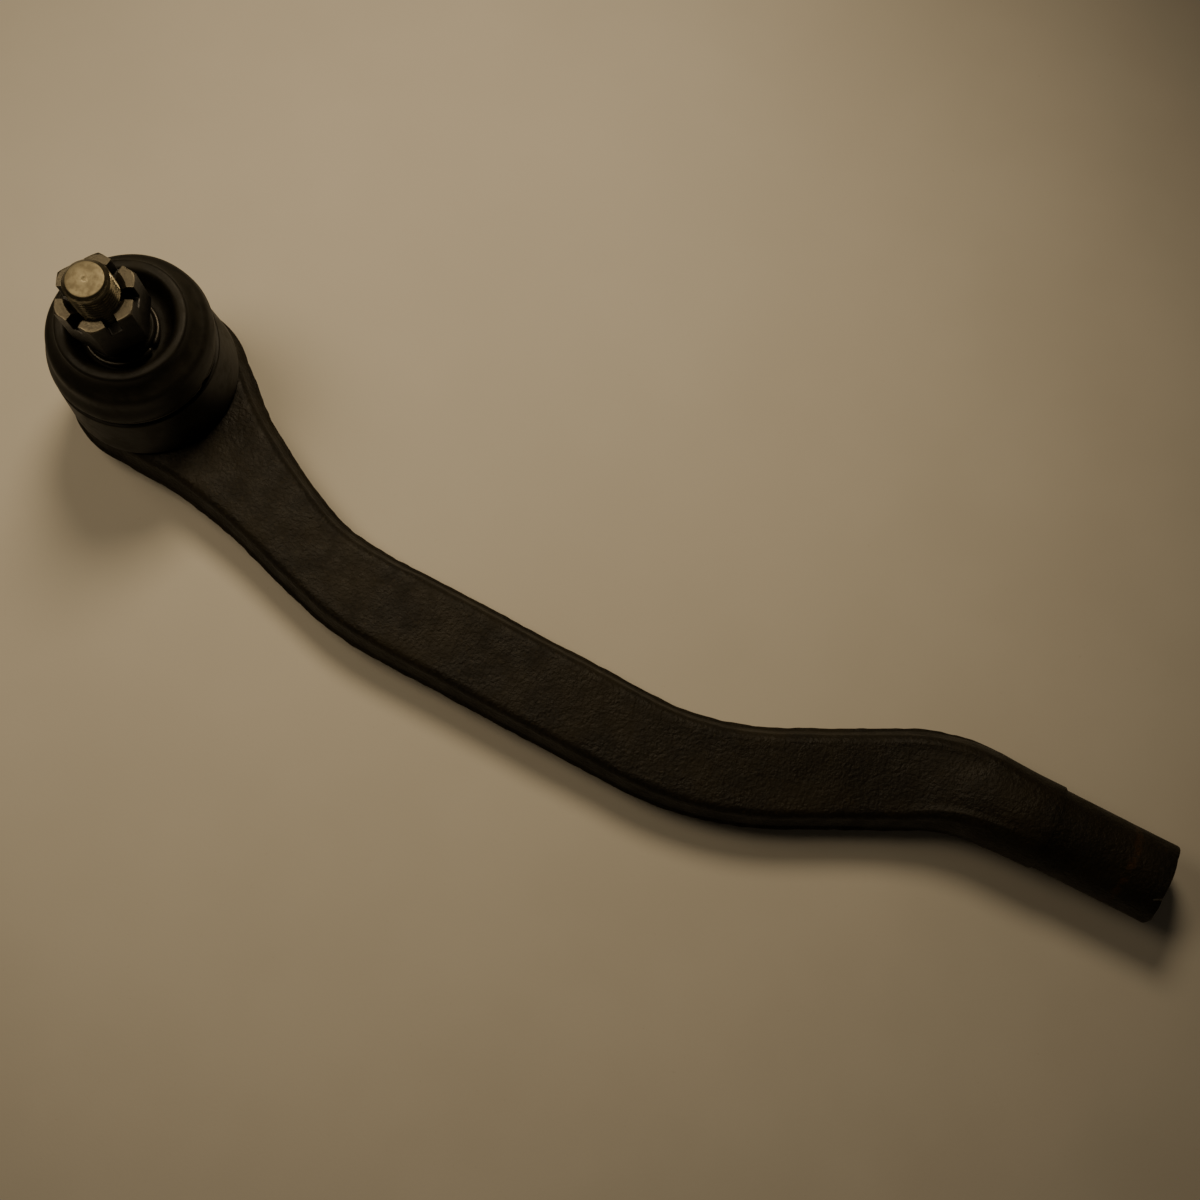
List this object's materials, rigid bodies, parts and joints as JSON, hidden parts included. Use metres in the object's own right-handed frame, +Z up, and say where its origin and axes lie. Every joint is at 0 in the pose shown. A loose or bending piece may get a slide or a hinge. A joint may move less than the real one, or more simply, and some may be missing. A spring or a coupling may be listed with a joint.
{
  "type": "tie rod end",
  "caption": "Outer tie rod end: forged bent arm with a booted ball joint and castle-nutted stud at one end, and a female-threaded boss at the other.",
  "frame": {"origin": "on the ball joint's axis, at the flat underside of the socket", "axes": "+Z up the stud, +X from the ball joint to the mouth of the female thread, along the line between them"},
  "size_m": [0.3332, 0.0681, 0.075],
  "materials": {
    "forging": "thin satin black coat over a coarse as-forged skin",
    "plate_steel": "phosphated pressing",
    "spring_steel": "oil-blackened spring steel",
    "seat_polymer": "natural acetal with a film of grease",
    "stud_steel": "turned bare steel",
    "nut_oxide": "black oxide, worn grey on top",
    "boot_rubber": "moulded satin rubber",
    "ring_wire": "blackened wire"
  },
  "bodies": {
    "housing": {"forged_arm": "forging", "cover_plate": "plate_steel", "boot_base_ring": "ring_wire"},
    "swivel": {"upper_seat": "seat_polymer", "lower_seat": "seat_polymer", "preload_spring": "spring_steel", "dust_boot": "boot_rubber"},
    "lean": {"boot_neck_ring": "ring_wire"},
    "stud": {"ball_stud": "stud_steel"},
    "nut": {"castle_nut": "nut_oxide"}
  },
  "joints": [
    {"name": "ball_azimuth", "type": "hinge", "parent": "housing", "child": "swivel", "pos_m": [0, 0, 0.022], "axis": [0, 0, 1], "continuous": true},
    {"name": "ball_tilt", "type": "hinge", "parent": "swivel", "child": "lean", "pos_m": [0, 0, 0.022], "axis": [0, 1, 0], "range_deg": [-20, 20], "deforming": ["dust_boot"]},
    {"name": "stud_spin", "type": "hinge", "parent": "lean", "child": "stud", "pos_m": [0, 0, 0.022], "axis": [0, 0, 1], "continuous": true},
    {"name": "nut_off", "type": "slide", "parent": "stud", "child": "nut", "axis": [0, 0, 1], "range_m": [0, 0.024]}
  ]
}
